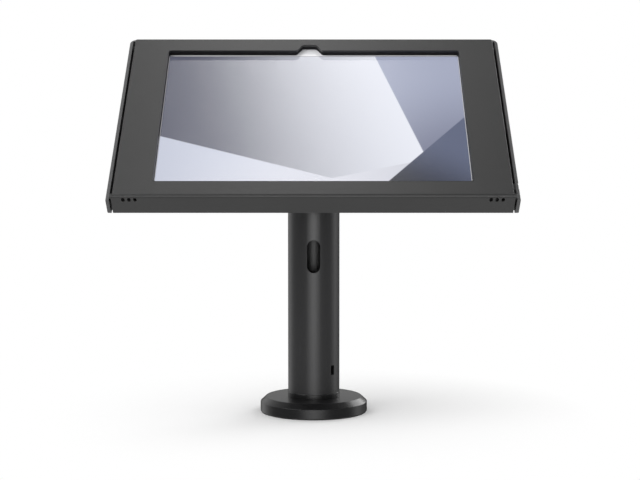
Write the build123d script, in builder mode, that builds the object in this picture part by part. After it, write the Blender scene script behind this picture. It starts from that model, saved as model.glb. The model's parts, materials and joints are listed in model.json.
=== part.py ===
from build123d import *
import os
from math import cos, radians, sin, sqrt

# Tablet security kiosk stand: a round base, a tubular pole, a head that swivels, tilts and turns,
# and a lockable folded-sheet enclosure round a tablet of about eleven inches.
# Millimetres. The origin is on the floor at the centre of the base, +Z is up, -Y faces the user.

# Driving sizes of the whole
tilt_height = 203.0
lean_deg = 45.0
running_fit = 0.05
overrun = 2.0

# Base, all heights from the floor
base_radius = 43.6
base_height = 12.3
rim_height = 8.2
cone_inset = 4.5
pad_thickness = 0.6
pad_inset = 0.5
cable_hole_radius = 16.0
stud_circle_radius = 31.0
stud_count = 3
stud_first_deg = 90.0
stud_hole_radius = 2.5
stud_hole_depth = 8.0
pad_hole_radius = 3.5
edge_break = 0.5

# Pole
pole_radius = 21.0
pole_wall = 2.0
head_rise = 35.0
collar_height = 4.0
collar_lip = 0.25
slot_width = 10.6
slot_length = 26.5
slot_drop = 40.3
key_slot_width = 3.7
key_slot_length = 7.7
key_slot_height = 35.4
key_slot_deg = 47.0

# Swivel
plug_depth = 12.0
plug_flange = 3.0
swivel_radius = 8.0
swivel_head_radius = 12.0
swivel_head = 2.5
washer_thickness = 1.0
washer_margin = 0.6
stop_radius = 16.5
stop_pin_radius = 1.5
stop_pin_seat = 3.0
stop_groove_gap = 0.5
stop_depth = 2.0
stop_web_deg = 9.0
spring_stack = 4.0
spring_count = 3
spring_gap = 0.1
spring_radius = 13.0
nut_height = 6.0
nut_flats = 22.0
bolt_tail = 1.0
shaft_gap = 0.3

# Yoke and tilt axle
yoke_disc = 5.0
ear_gap = 28.0
ear_thickness = 6.0
ear_radius = 14.0
axle_radius = 5.0
axle_head_radius = 8.0
axle_head = 4.0
tilt_nut_flats = 13.0
tilt_nut_height = 5.0
friction_disc = 1.5
socket_flats = 5.0
socket_depth = 2.5

# Tilt knuckle and the turning joint behind the enclosure
barrel_radius = 13.0
neck_width = 20.0
flange_offset = 26.0
flange_thickness = 5.0
flange_radius = 28.0
turn_radius = 8.0
turn_tail_radius = 6.0
turn_seat_depth = 4.0
turn_head_radius = 12.0
turn_head = 1.7
turn_stop_radius = 22.0
turn_stop_depth = 2.0
turn_stop_past_deg = 1.0
plate_size = 120.0
plate_thickness = 4.0
plate_corner = 8.0
plate_pitch = 100.0
screw_radius = 2.0
screw_clear = 0.2
screw_head_radius = 3.5
screw_head = 2.2
screw_reach = 1.5

# Enclosure, in its own frame: x across, u up the slope, w out of the back face
enclosure_depth = 18.0
tray_side_room = 24.4
tray_top_room = 9.6
tray_bottom_room = 6.5
tray_sheet = 2.5
tray_wall = 14.15
tray_top_wall = 13.4
tray_corner = 5.0
tray_inner_corner = 1.0
tray_edge_round = 0.6
tray_fold_round = 0.8
lip_inset = 3.0
lip_wall = 12.0
lip_end_room = 7.4
relief_width = 2.0
relief_height = 5.0
chin_side_gap = 1.0
exit_length = 32.0
exit_width = 16.0
exit_offset = 10.0
vent_count = 7
vent_pitch = 12.0
vent_length = 26.0
vent_width = 3.0
vent_offset = 14.5

# Front cover
cover_side_gap = 2.6
cover_sheet = 2.0
cover_top_inset = 4.0
fold_radius = 2.5
fold_inner_radius = 0.5
chin_overhang = 1.0
fold_overhang = 2.0
cover_corner = 1.5
cover_edge_round = 0.5
side_flange = 8.0
flange_end_gap = 2.0
window_side_reveal = 0.5
window_end_reveal = 1.4
window_centre = 1.0
window_corner = 2.5
notch_offset = 3.6
notch_foot = 21.3
notch_foot_round = 2.0
notch_top = 10.9
notch_height = 7.4
sound_hole_width = 2.6
sound_hole_length = 4.0
sound_hole_drop = 4.0
sound_hole_inset = 16.8
sound_hole_pitch = 4.45
sound_hole_count = 3

# Hinge of the cover
hinge_drop = 6.0
hinge_w = 6.0
hinge_pin_radius = 1.5
hinge_ear_radius = 3.0
hinge_shoulder_radius = 2.4
hinge_shoulder_gap = 0.4
hinge_pin_nose = 1.2
hinge_pin_skin = 0.5
hinge_slot_gap = 0.5
hinge_slot_floor = 3.5

# Tablet
tablet_side_border = 10.0
tablet_end_border = 10.5
tablet_corner = 8.0
tablet_thickness = 6.9
tablet_glass_thickness = 0.9
glass_recess = 5.1
glass_border = 1.0
display_width = 237.0
display_height = 148.0
display_thickness = 0.4
shell_back = 1.2
shell_side = 2.4
battery_width = 150.0
battery_height = 92.0
battery_thickness = 3.6
board_width = 60.0
board_height = 120.0
board_thickness = 2.4
board_inset = 10.5
battery_gap = 5.0
shell_round = 1.5
camera_radius = 1.6
camera_depth = 0.6
camera_rise = 5.3
port_width = 9.0
port_height = 3.2
port_depth = 1.6
power_key_length = 12.0
volume_key_length = 24.0
key_width = 2.4
key_depth = 1.9
key_stand = 0.5
key_pocket_gap = 0.3
power_key_inset = 30.5
volume_key_inset = 56.5

# What holds the tablet in the tray
pad_strip_length = 90.0
pad_strip_width = 14.0
pad_strip_x = 62.0
pad_strip_u = 40.0
block_arm = 26.0
block_side = 4.0
block_gap = 0.4
frame_side_overhang = 0.1
frame_top_overhang = 2.0
frame_thickness = 2.8
frame_screw_radius = 1.0
frame_screw_head_radius = 1.7
frame_screw_head = 1.2
frame_screw_depth = 6.0
frame_screw_inset = 18.5
guide_length = 20.0
guide_inner_gap = 1.0
guide_drop = 1.5
guide_height = 5.0
guide_slot = 12.0
guide_floor = 1.2
guide_end = 5.0
rivet_seat = 4.0
rivet_radius = 1.2
rivet_head_radius = 2.5
rivet_head = 1.2
rivet_w = 5.5

# Lock in the right-hand wall
lock_rise = 14.0
lock_w = 8.2
lock_radius = 5.0
lock_head_radius = 6.0
lock_head = 0.5
lock_dish_radius = 6.5
lock_dish_depth = 0.8
lock_length = 13.5
lock_nut_flats = 11.0
lock_nut_thickness = 2.6
core_radius = 3.0
keyway_length = 4.0
keyway_width = 1.0
keyway_depth = 3.0
cam_thickness = 2.5
cam_reach = 7.2
cam_width = 5.0
cam_screw_radius = 1.25
cam_screw_head_radius = 2.2
cam_screw_head = 1.3
cam_screw_depth = 6.0
core_set_back = 0.1
lock_clear = 8.0
catch_lip = 1.9
catch_lip_w = 3.5
catch_leg = 2.0
catch_lip_start = 3.4
catch_leg_start = 7.8
catch_foot_length = 11.4
catch_foot_width = 7.0
catch_foot_thickness = 1.5
catch_screw_radius = 1.0
catch_screw_head_radius = 1.8
catch_screw_head = 0.7
catch_screw_seat = 1.2
catch_screw_first = 4.6
catch_screw_pitch = 4.4
catch_screw_count = 2

# Planes and sums that several pieces share
lean = radians(lean_deg)
axis_point = (0, 0, tilt_height)
slope_dir = (0, cos(lean), sin(lean))
out_dir = (0, -sin(lean), cos(lean))
screen = Plane(origin=axis_point, x_dir=(1, 0, 0), z_dir=out_dir)
side = Plane(origin=axis_point, x_dir=slope_dir, z_dir=(1, 0, 0))
pole_top = tilt_height - head_rise
pole_bore = pole_radius - pole_wall
pole_foot = base_height + collar_height
slot_height = pole_top - slot_drop
plug_top = pole_top + plug_flange
yoke_foot = plug_top + washer_thickness
yoke_floor = yoke_foot + yoke_disc
flange_face = flange_offset + flange_thickness
plate_foot = flange_face + washer_thickness
out_axis = Axis(axis_point, out_dir)
slope_axis = Axis(axis_point, slope_dir)
across = Plane(origin=axis_point, x_dir=(1, 0, 0), z_dir=slope_dir)
back = plate_foot + plate_thickness
front = back + enclosure_depth
cover_back = front - cover_sheet
glass_face = front - glass_recess
tablet_back_face = glass_face - tablet_thickness
glass_foot = glass_face - tablet_glass_thickness
tray_floor = back + tray_sheet
tablet_width = display_width + 2 * tablet_side_border
tablet_height = display_height + 2 * tablet_end_border
tablet_low = window_centre - tablet_height / 2
tablet_high = window_centre + tablet_height / 2
key_level = tablet_back_face + tablet_thickness / 2
power_key_place = power_key_inset - tablet_width / 2
volume_key_place = volume_key_inset - tablet_width / 2
board_place = tablet_width / 2 - board_inset - board_width / 2
battery_place = board_place - board_width / 2 - battery_gap - battery_width / 2
tray_half_width = tablet_width / 2 + tray_side_room
tray_inner = tray_half_width - tray_sheet
tray_top = tablet_high + tray_top_room
tray_bottom = tablet_low - tray_bottom_room
lip_outer = tray_bottom + lip_inset
exit_place = -(plate_size / 2 + exit_offset)
vent_place = plate_size / 2 + vent_offset
cover_half_width = tray_inner - cover_side_gap
chin_half_width = cover_half_width + chin_overhang
fold_half_width = cover_half_width + fold_overhang
cover_top = tray_top - cover_top_inset
cover_bottom = tray_bottom
window_width = display_width + 2 * window_side_reveal
window_height = display_height + 2 * window_end_reveal
window_top = window_centre + window_height / 2
notch_centre = -notch_offset
camera_u = window_centre + display_height / 2 + camera_rise
sound_hole_first = cover_half_width - sound_hole_inset
hinge_u = tray_top - hinge_drop
block_outer = tablet_width / 2 + block_gap + block_side
block_high = tablet_high + block_gap + block_side
frame_half_width = block_outer + frame_side_overhang
frame_top = tablet_high + frame_top_overhang
frame_bottom = tablet_low
frame_screw_x = block_outer - block_side / 2
frame_screw_u = tablet_height / 2 - frame_screw_inset
guide_place = -guide_drop
lock_u = tray_bottom + lock_rise

os.makedirs("parts", exist_ok=True)

# Rubber pad under the base, with the cable hole and room for the fixing studs
with BuildPart() as base_pad:
    with BuildSketch(Plane.XY):
        Circle(base_radius - pad_inset)
        Circle(cable_hole_radius, mode=Mode.SUBTRACT)
        with PolarLocations(stud_circle_radius, stud_count, start_angle=stud_first_deg):
            Circle(pad_hole_radius, mode=Mode.SUBTRACT)
    extrude(amount=pad_thickness)
base_pad.part.label = "base_pad"
export_step(base_pad.part, "parts/base_pad.step")

# Turned steel base: upright rim, conical shoulder, flat top, blind fixing holes underneath
with BuildPart() as base_disc:
    with BuildSketch(Plane.XZ):
        with BuildLine():
            Polyline(
                (cable_hole_radius, pad_thickness),
                (base_radius, pad_thickness),
                (base_radius, rim_height),
                (base_radius - cone_inset, base_height),
                (cable_hole_radius, base_height),
                close=True,
            )
        make_face()
        rim_corners = vertices().sort_by(Axis.X)[-2:]
        fillet(rim_corners, edge_break)
    revolve(axis=Axis.Z)
    with BuildSketch(Plane.XY.offset(pad_thickness)):
        with PolarLocations(stud_circle_radius, stud_count, start_angle=stud_first_deg):
            Circle(stud_hole_radius)
    extrude(amount=stud_hole_depth, mode=Mode.SUBTRACT)
base_disc.part.label = "base_disc"
export_step(base_disc.part, "parts/base_disc.step")

# Neck ring welded between the base and the pole
with BuildPart() as base_collar:
    with BuildSketch(Plane.XY.offset(base_height)):
        Circle(pole_radius + collar_lip)
        Circle(pole_bore, mode=Mode.SUBTRACT)
    extrude(amount=collar_height)
    top_ring = base_collar.edges().filter_by(GeomType.CIRCLE).group_by(Axis.Z)[-1].sort_by(SortBy.RADIUS)[-1]
    chamfer(top_ring, collar_lip)
base_collar.part.label = "base_collar"
export_step(base_collar.part, "parts/base_collar.step")

# Steel tube with the cable slot in front and a small security slot low on the right
with BuildPart() as pole:
    with BuildSketch(Plane.XY.offset(pole_foot)):
        Circle(pole_radius)
        Circle(pole_bore, mode=Mode.SUBTRACT)
    extrude(amount=pole_top - pole_foot)
    with BuildSketch(Plane(origin=(0, 0, slot_height), x_dir=(1, 0, 0), z_dir=(0, -1, 0))):
        SlotOverall(slot_length, slot_width, rotation=90)
    extrude(amount=pole_radius + overrun, mode=Mode.SUBTRACT)
    turn = radians(key_slot_deg)
    with BuildSketch(
        Plane(origin=(0, 0, key_slot_height), x_dir=(cos(turn), sin(turn), 0), z_dir=(sin(turn), -cos(turn), 0))
    ):
        RectangleRounded(key_slot_width, key_slot_length, edge_break)
    extrude(amount=pole_radius + overrun, mode=Mode.SUBTRACT)
pole.part.label = "pole"
export_step(pole.part, "parts/pole.step")

# Plug in the pole's top: spigot, flange, spindle bore and the groove of the swivel stop
with BuildPart() as pole_plug:
    with BuildSketch(Plane.XY.offset(pole_top - plug_depth)):
        Circle(pole_bore)
    extrude(amount=plug_depth)
    with BuildSketch(Plane.XY.offset(pole_top)):
        Circle(pole_radius)
    extrude(amount=plug_flange)
    with BuildSketch(Plane.XY.offset(plug_top)):
        SlotArc(
            CenterArc((0, 0), stop_radius, stop_web_deg - 90, 360 - 2 * stop_web_deg),
            2 * (stop_pin_radius + stop_groove_gap),
        )
    extrude(amount=-stop_depth, mode=Mode.SUBTRACT)
    with BuildSketch(Plane.XY.offset(pole_top - plug_depth)):
        Circle(swivel_radius + running_fit)
    extrude(amount=plug_depth + plug_flange, mode=Mode.SUBTRACT)
pole_plug.part.label = "pole_plug"
export_step(pole_plug.part, "parts/pole_plug.step")

# Slippery washer that the head turns on
with BuildPart() as swivel_washer:
    with BuildSketch(Plane.XY.offset(plug_top)):
        Circle(stop_radius - stop_pin_radius - stop_groove_gap - washer_margin)
        Circle(swivel_radius + washer_margin, mode=Mode.SUBTRACT)
    extrude(amount=washer_thickness)
swivel_washer.part.label = "swivel_washer"
export_step(swivel_washer.part, "parts/swivel_washer.step")

# Yoke: a dished foot and two rounded ears for the tilt axle
ear_outer = ear_gap / 2 + ear_thickness
ear_height = tilt_height - yoke_floor + ear_radius
yoke_rim = sqrt(ear_outer**2 + ear_radius**2)
with BuildPart() as head_yoke:
    with BuildSketch(Plane.XZ):
        with BuildLine():
            Polyline(
                (0, yoke_foot),
                (pole_radius, yoke_foot),
                (yoke_rim, yoke_floor),
                (0, yoke_floor),
                close=True,
            )
        make_face()
    revolve(axis=Axis.Z)
    with BuildSketch(Plane.YZ):
        with Locations((0, tilt_height)):
            Circle(ear_radius)
        with Locations((0, (yoke_floor + tilt_height) / 2)):
            Rectangle(2 * ear_radius, tilt_height - yoke_floor)
    extrude(amount=ear_outer, both=True)
    with BuildSketch(Plane.YZ):
        with Locations((0, yoke_floor)):
            Rectangle(2 * yoke_rim, 2 * ear_height, align=(Align.CENTER, Align.MIN))
    extrude(amount=ear_gap / 2, both=True, mode=Mode.SUBTRACT)
    with BuildSketch(Plane.YZ):
        with Locations((0, tilt_height)):
            Circle(axle_radius)
    extrude(amount=ear_outer, both=True, mode=Mode.SUBTRACT)
    with BuildSketch(Plane.XY.offset(yoke_foot)):
        Circle(swivel_radius)
    extrude(amount=yoke_disc, mode=Mode.SUBTRACT)
    with BuildSketch(Plane.XY.offset(yoke_foot)):
        with Locations((0, stop_radius)):
            Circle(stop_pin_radius)
    extrude(amount=stop_pin_seat, mode=Mode.SUBTRACT)
    ear_faces = head_yoke.faces().filter_by(Axis.X).sort_by(Axis.X)
    for ear_face in (ear_faces[0], ear_faces[-1]):
        chamfer(ear_face.outer_wire().edges().filter_by(GeomType.CIRCLE), edge_break)
head_yoke.part.label = "head_yoke"
export_step(head_yoke.part, "parts/head_yoke.step")

# Swivel spindle: headed bolt from the yoke's floor down through the plug
nut_foot = pole_top - plug_depth - spring_stack - nut_height
with BuildPart() as swivel_spindle:
    with BuildSketch(Plane.XY.offset(nut_foot - bolt_tail)):
        Circle(swivel_radius)
    extrude(amount=yoke_floor - nut_foot + bolt_tail)
    with BuildSketch(Plane.XY.offset(yoke_floor)):
        Circle(swivel_head_radius)
    extrude(amount=swivel_head)
    with BuildSketch(Plane.XY.offset(yoke_floor + swivel_head)):
        RegularPolygon(socket_flats, 6, major_radius=False)
    extrude(amount=-socket_depth, mode=Mode.SUBTRACT)
swivel_spindle.part.label = "swivel_spindle"
export_step(swivel_spindle.part, "parts/swivel_spindle.step")

# Three spring washers that keep the swivel firm, a hair apart
with BuildPart() as spring_washers:
    spring_step = spring_stack / spring_count
    for index in range(spring_count):
        with BuildSketch(Plane.XY.offset(pole_top - plug_depth - index * spring_step)):
            Circle(spring_radius)
            Circle(swivel_radius + shaft_gap, mode=Mode.SUBTRACT)
        extrude(amount=spring_gap - spring_step)
spring_washers.part.label = "spring_washers"
export_step(spring_washers.part, "parts/spring_washers.step")

# Nut under the spring washers
with BuildPart() as swivel_nut:
    with BuildSketch(Plane.XY.offset(nut_foot)):
        RegularPolygon(nut_flats / 2, 6, major_radius=False)
        Circle(swivel_radius, mode=Mode.SUBTRACT)
    extrude(amount=nut_height)
swivel_nut.part.label = "swivel_nut"
export_step(swivel_nut.part, "parts/swivel_nut.step")

# Pin under the yoke that runs in the plug's groove and stops the swivel
with BuildPart() as swivel_stop:
    with BuildSketch(Plane.XY.offset(yoke_foot + stop_pin_seat)):
        with Locations((0, stop_radius)):
            Circle(stop_pin_radius)
    extrude(amount=-(stop_pin_seat + washer_thickness + stop_depth - stop_groove_gap))
swivel_stop.part.label = "swivel_stop"
export_step(swivel_stop.part, "parts/swivel_stop.step")

# Shoulder bolt through both ears, with its socket on the right
with BuildPart() as tilt_axle:
    with BuildSketch(Plane.YZ.offset(-ear_outer - tilt_nut_height - bolt_tail)):
        with Locations((0, tilt_height)):
            Circle(axle_radius)
    extrude(amount=2 * ear_outer + tilt_nut_height + bolt_tail)
    with BuildSketch(Plane.YZ.offset(ear_outer)):
        with Locations((0, tilt_height)):
            Circle(axle_head_radius)
    extrude(amount=axle_head)
    head_rim = tilt_axle.edges().filter_by(GeomType.CIRCLE).sort_by(Axis.X)[-1]
    chamfer(head_rim, edge_break)
    with BuildSketch(Plane.YZ.offset(ear_outer + axle_head)):
        with Locations((0, tilt_height)):
            RegularPolygon(socket_flats / 2, 6, major_radius=False)
    extrude(amount=-socket_depth, mode=Mode.SUBTRACT)
tilt_axle.part.label = "tilt_axle"
export_step(tilt_axle.part, "parts/tilt_axle.step")

# Nut on the axle's left end
with BuildPart() as tilt_nut:
    with BuildSketch(Plane.YZ.offset(-ear_outer)):
        with Locations((0, tilt_height)):
            RegularPolygon(tilt_nut_flats / 2, 6, major_radius=False)
            Circle(axle_radius, mode=Mode.SUBTRACT)
    extrude(amount=-tilt_nut_height)
tilt_nut.part.label = "tilt_nut"
export_step(tilt_nut.part, "parts/tilt_nut.step")

# Two friction discs between the ears and the knuckle
barrel_half = ear_gap / 2 - friction_disc
with BuildPart() as friction_discs:
    for start, thickness in ((ear_gap / 2, -friction_disc), (-ear_gap / 2, friction_disc)):
        with BuildSketch(Plane.YZ.offset(start)):
            with Locations((0, tilt_height)):
                Circle(barrel_radius)
                Circle(axle_radius + shaft_gap, mode=Mode.SUBTRACT)
        extrude(amount=thickness)
friction_discs.part.label = "friction_discs"
export_step(friction_discs.part, "parts/friction_discs.step")

# Knuckle: a barrel on the tilt axle, a neck and a round flange square to the screen
with BuildPart() as tilt_knuckle:
    with BuildSketch(side):
        Circle(barrel_radius)
        Rectangle(neck_width, flange_offset + overrun, align=(Align.CENTER, Align.MIN))
    extrude(amount=barrel_half, both=True)
    with BuildSketch(screen.offset(flange_offset)):
        Circle(flange_radius)
    extrude(amount=flange_thickness)
    with BuildSketch(side):
        Circle(axle_radius + running_fit)
    extrude(amount=barrel_half, both=True, mode=Mode.SUBTRACT)
    with BuildSketch(screen.offset(flange_face)):
        Circle(turn_tail_radius)
        with Locations((0, turn_stop_radius)):
            Circle(stop_pin_radius)
    extrude(amount=-turn_seat_depth, mode=Mode.SUBTRACT)
    flange_rims = tilt_knuckle.edges().filter_by(GeomType.CIRCLE).filter_by(
        lambda edge: abs(edge.radius - flange_radius) < running_fit
    )
    chamfer(flange_rims, edge_break)
tilt_knuckle.part.label = "tilt_knuckle"
export_step(tilt_knuckle.part, "parts/tilt_knuckle.step")

# Pin on the flange that stops the quarter turns
with BuildPart() as turn_stop:
    with BuildSketch(screen.offset(flange_face - turn_seat_depth)):
        with Locations((0, turn_stop_radius)):
            Circle(stop_pin_radius)
    extrude(amount=turn_seat_depth + washer_thickness + turn_stop_depth - stop_groove_gap)
turn_stop.part.label = "turn_stop"
export_step(turn_stop.part, "parts/turn_stop.step")

# Washer between the flange and the mounting plate
turn_washer_radius = turn_stop_radius - stop_pin_radius - stop_groove_gap - washer_margin
with BuildPart() as turn_washer:
    with BuildSketch(screen.offset(flange_face)):
        Circle(turn_washer_radius)
        Circle(turn_radius + washer_margin, mode=Mode.SUBTRACT)
    extrude(amount=washer_thickness)
turn_washer.part.label = "turn_washer"
export_step(turn_washer.part, "parts/turn_washer.step")

# Shoulder screw that the mounting plate turns on
with BuildPart() as turn_spindle:
    with BuildSketch(screen.offset(flange_face - turn_seat_depth)):
        Circle(turn_tail_radius)
    extrude(amount=turn_seat_depth)
    with BuildSketch(screen.offset(flange_face)):
        Circle(turn_radius)
    extrude(amount=washer_thickness + plate_thickness - turn_head - shaft_gap)
    with BuildSketch(screen.offset(back - turn_head - shaft_gap)):
        Circle(turn_head_radius)
    extrude(amount=turn_head)
    with BuildSketch(screen.offset(back - shaft_gap)):
        RegularPolygon(socket_flats, 6, major_radius=False)
    extrude(amount=-turn_head, mode=Mode.SUBTRACT)
turn_spindle.part.label = "turn_spindle"
export_step(turn_spindle.part, "parts/turn_spindle.step")

# Square mounting plate: spindle bore, sunk seat for its head, stop groove, four screw holes
turn_groove = CenterArc((0, 0), turn_stop_radius, -turn_stop_past_deg, 180 + 2 * turn_stop_past_deg)
with BuildPart() as mounting_plate:
    with BuildSketch(screen.offset(plate_foot)):
        RectangleRounded(plate_size, plate_size, plate_corner)
        Circle(turn_radius + running_fit, mode=Mode.SUBTRACT)
        with GridLocations(plate_pitch, plate_pitch, 2, 2):
            Circle(screw_radius + screw_clear, mode=Mode.SUBTRACT)
    extrude(amount=plate_thickness)
    with BuildSketch(screen.offset(back)):
        Circle(turn_head_radius + shaft_gap)
    extrude(amount=-(turn_head + shaft_gap), mode=Mode.SUBTRACT)
    with BuildSketch(screen.offset(plate_foot)):
        SlotArc(turn_groove, 2 * (stop_pin_radius + stop_groove_gap))
    extrude(amount=turn_stop_depth, both=True, mode=Mode.SUBTRACT)
mounting_plate.part.label = "mounting_plate"
export_step(mounting_plate.part, "parts/mounting_plate.step")

# Four pan-head screws that hold the tray to the mounting plate
with BuildPart() as plate_screws:
    with BuildSketch(screen.offset(plate_foot)):
        with GridLocations(plate_pitch, plate_pitch, 2, 2):
            Circle(screw_head_radius)
    extrude(amount=-screw_head)
    head_rims = plate_screws.edges().filter_by(GeomType.CIRCLE).group_by(Axis(axis_point, out_dir))[0]
    fillet(head_rims, screw_head / 2)
    with BuildSketch(screen.offset(plate_foot)):
        with GridLocations(plate_pitch, plate_pitch, 2, 2):
            Circle(screw_radius)
    extrude(amount=plate_thickness + tray_sheet + screw_reach)
plate_screws.part.label = "plate_screws"
export_step(plate_screws.part, "parts/plate_screws.step")

# Rear tray: folded sheet with a back, two sides, a top wall and a low lip at the bottom
slot_low = cover_half_width - cover_sheet - hinge_slot_gap
slot_high = cover_half_width + hinge_slot_gap
lip_half_width = tray_half_width - lip_end_room
with BuildPart() as rear_tray:
    with BuildSketch(screen.offset(back)):
        with BuildLine():
            FilletPolyline(
                (-tray_half_width, tray_bottom),
                (-tray_half_width, tray_top),
                (tray_half_width, tray_top),
                (tray_half_width, tray_bottom),
                radius=tray_corner,
            )
            Line((tray_half_width, tray_bottom), (-tray_half_width, tray_bottom))
        make_face()
    extrude(amount=tray_wall)
    back_rim = rear_tray.edges().group_by(out_axis)[0].sort_by(slope_axis)[1:]
    fillet(back_rim, tray_fold_round)
    front_rim = rear_tray.edges().group_by(out_axis)[-1].sort_by(slope_axis)[1:]
    fillet(front_rim, tray_edge_round)
    with BuildSketch(screen.offset(tray_floor)):
        with BuildLine():
            FilletPolyline(
                (-tray_inner, tray_bottom - overrun),
                (-tray_inner, tray_top - tray_sheet),
                (tray_inner, tray_top - tray_sheet),
                (tray_inner, tray_bottom - overrun),
                radius=tray_inner_corner,
            )
            Line((tray_inner, tray_bottom - overrun), (-tray_inner, tray_bottom - overrun))
        make_face()
    extrude(amount=tray_wall, mode=Mode.SUBTRACT)
    # open bottom edge where the cover's lower face ends, with a relief slit at each end of the lip
    with BuildSketch(screen.offset(back)):
        with Locations((0, lip_outer)):
            Rectangle(
                2 * (chin_half_width + chin_side_gap),
                lip_outer - tray_bottom + overrun,
                align=(Align.CENTER, Align.MAX),
            )
        for direction in (-1, 1):
            with Locations((direction * (lip_half_width + relief_width / 2), lip_outer + relief_height / 2)):
                Rectangle(relief_width, relief_height)
    extrude(amount=tray_sheet, mode=Mode.SUBTRACT)
    with BuildSketch(screen.offset(back)):
        with Locations((0, lip_outer)):
            Rectangle(2 * lip_half_width, tray_sheet, align=(Align.CENTER, Align.MIN))
    extrude(amount=lip_wall)
    # top wall set lower between the hinges, and a slot for each hinge ear
    with BuildSketch(screen.offset(back + tray_top_wall)):
        with Locations((0, tray_top)):
            Rectangle(2 * slot_low, 2 * (tray_sheet + overrun))
    extrude(amount=tray_wall, mode=Mode.SUBTRACT)
    with BuildSketch(screen.offset(back + hinge_slot_floor)):
        for direction in (-1, 1):
            with Locations((direction * (slot_low + slot_high) / 2, tray_top)):
                Rectangle(slot_high - slot_low, 2 * (tray_sheet + overrun))
    extrude(amount=tray_wall, mode=Mode.SUBTRACT)
    # screw holes, cable exit and vents in the back
    with BuildSketch(screen.offset(back)):
        with GridLocations(plate_pitch, plate_pitch, 2, 2):
            Circle(screw_radius)
        with Locations((0, exit_place)):
            SlotOverall(exit_length, exit_width)
        for index in range(vent_count):
            with Locations(((index - (vent_count - 1) / 2) * vent_pitch, vent_place)):
                SlotOverall(vent_length, vent_width, rotation=90)
    extrude(amount=tray_sheet, mode=Mode.SUBTRACT)
    # lock hole and rivet hole in the right-hand wall, and the sunk seat of the lock
    with BuildSketch(side.offset(tray_inner)):
        with Locations((lock_u, back + lock_w)):
            Circle(lock_radius)
        with Locations((guide_place, back + rivet_w)):
            Circle(rivet_radius)
    extrude(amount=tray_sheet, mode=Mode.SUBTRACT)
    with BuildSketch(side.offset(tray_half_width)):
        with Locations((lock_u, back + lock_w)):
            Circle(lock_dish_radius)
    extrude(amount=-lock_dish_depth, mode=Mode.SUBTRACT)
    # blind holes for the hinge pins
    for direction in (-1, 1):
        with BuildSketch(side.offset(direction * tray_inner)):
            with Locations((hinge_u, back + hinge_w)):
                Circle(hinge_pin_radius)
        extrude(amount=direction * (tray_sheet - hinge_pin_skin), mode=Mode.SUBTRACT)
rear_tray.part.label = "rear_tray"
export_step(rear_tray.part, "parts/rear_tray.step")

# Two hinge pins pressed into the side walls
pin_start = cover_half_width - cover_sheet - hinge_pin_nose
pin_end = tray_half_width - hinge_pin_skin
with BuildPart() as hinge_pins:
    for direction in (-1, 1):
        with BuildSketch(side.offset(direction * pin_start)):
            with Locations((hinge_u, back + hinge_w)):
                Circle(hinge_pin_radius)
        extrude(amount=direction * (pin_end - pin_start))
        with BuildSketch(side.offset(direction * (cover_half_width + hinge_shoulder_gap))):
            with Locations((hinge_u, back + hinge_w)):
                Circle(hinge_shoulder_radius)
        extrude(amount=direction * (tray_inner - cover_half_width - hinge_shoulder_gap))
hinge_pins.part.label = "hinge_pins"
export_step(hinge_pins.part, "parts/hinge_pins.step")

# Four foam strips that the tablet lies on
with BuildPart() as rear_pads:
    with BuildSketch(screen.offset(tray_floor)):
        with GridLocations(2 * pad_strip_x, 2 * pad_strip_u, 2, 2):
            Rectangle(pad_strip_length, pad_strip_width)
    extrude(amount=tablet_back_face - tray_floor)
rear_pads.part.label = "rear_pads"
export_step(rear_pads.part, "parts/rear_pads.step")

# Four blocks round the tablet's corners that also carry the inner frame
with BuildPart() as corner_blocks:
    with BuildSketch(screen.offset(tray_floor)):
        for direction in (-1, 1):
            with Locations((direction * (block_outer - block_arm / 2), block_high - block_arm / 2)):
                Rectangle(block_arm, block_arm)
            with Locations((direction * (block_outer - block_side / 2), tablet_low + block_arm / 2)):
                Rectangle(block_side, block_arm)
        with Locations((0, window_centre)):
            RectangleRounded(
                tablet_width + 2 * block_gap,
                tablet_height + 2 * block_gap,
                tablet_corner + block_gap,
                mode=Mode.SUBTRACT,
            )
    extrude(amount=glass_face - tray_floor)
    with BuildSketch(screen.offset(glass_face)):
        with GridLocations(2 * frame_screw_x, 2 * frame_screw_u, 2, 2):
            Circle(frame_screw_radius)
    extrude(amount=-frame_screw_depth, mode=Mode.SUBTRACT)
corner_blocks.part.label = "corner_blocks"
export_step(corner_blocks.part, "parts/corner_blocks.step")

# Tablet shell: a rounded slab, hollowed out, with a seat for the glass, key pockets and a port
with BuildPart() as tablet_shell:
    with BuildSketch(screen.offset(tablet_back_face)):
        with Locations((0, window_centre)):
            RectangleRounded(tablet_width, tablet_height, tablet_corner)
    extrude(amount=tablet_thickness)
    shell_rim = tablet_shell.edges().group_by(out_axis)[0]
    fillet(shell_rim, shell_round)
    with BuildSketch(screen.offset(tablet_back_face + shell_back)):
        with Locations((0, window_centre)):
            RectangleRounded(
                tablet_width - 2 * shell_side, tablet_height - 2 * shell_side, tablet_corner - shell_side
            )
    extrude(amount=tablet_thickness, mode=Mode.SUBTRACT)
    with BuildSketch(screen.offset(glass_foot)):
        with Locations((0, window_centre)):
            RectangleRounded(
                tablet_width - 2 * glass_border, tablet_height - 2 * glass_border, tablet_corner - glass_border
            )
    extrude(amount=tablet_glass_thickness, mode=Mode.SUBTRACT)
    with BuildSketch(across.offset(tablet_high)):
        with Locations((power_key_place, -key_level)):
            SlotOverall(power_key_length + 2 * key_pocket_gap, key_width + 2 * key_pocket_gap)
        with Locations((volume_key_place, -key_level)):
            SlotOverall(volume_key_length + 2 * key_pocket_gap, key_width + 2 * key_pocket_gap)
    extrude(amount=-(key_depth + key_pocket_gap), mode=Mode.SUBTRACT)
    with BuildSketch(side.offset(tablet_width / 2)):
        with Locations((guide_place, key_level)):
            SlotOverall(port_width, port_height)
    extrude(amount=-port_depth, mode=Mode.SUBTRACT)
tablet_shell.part.label = "tablet_shell"
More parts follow.
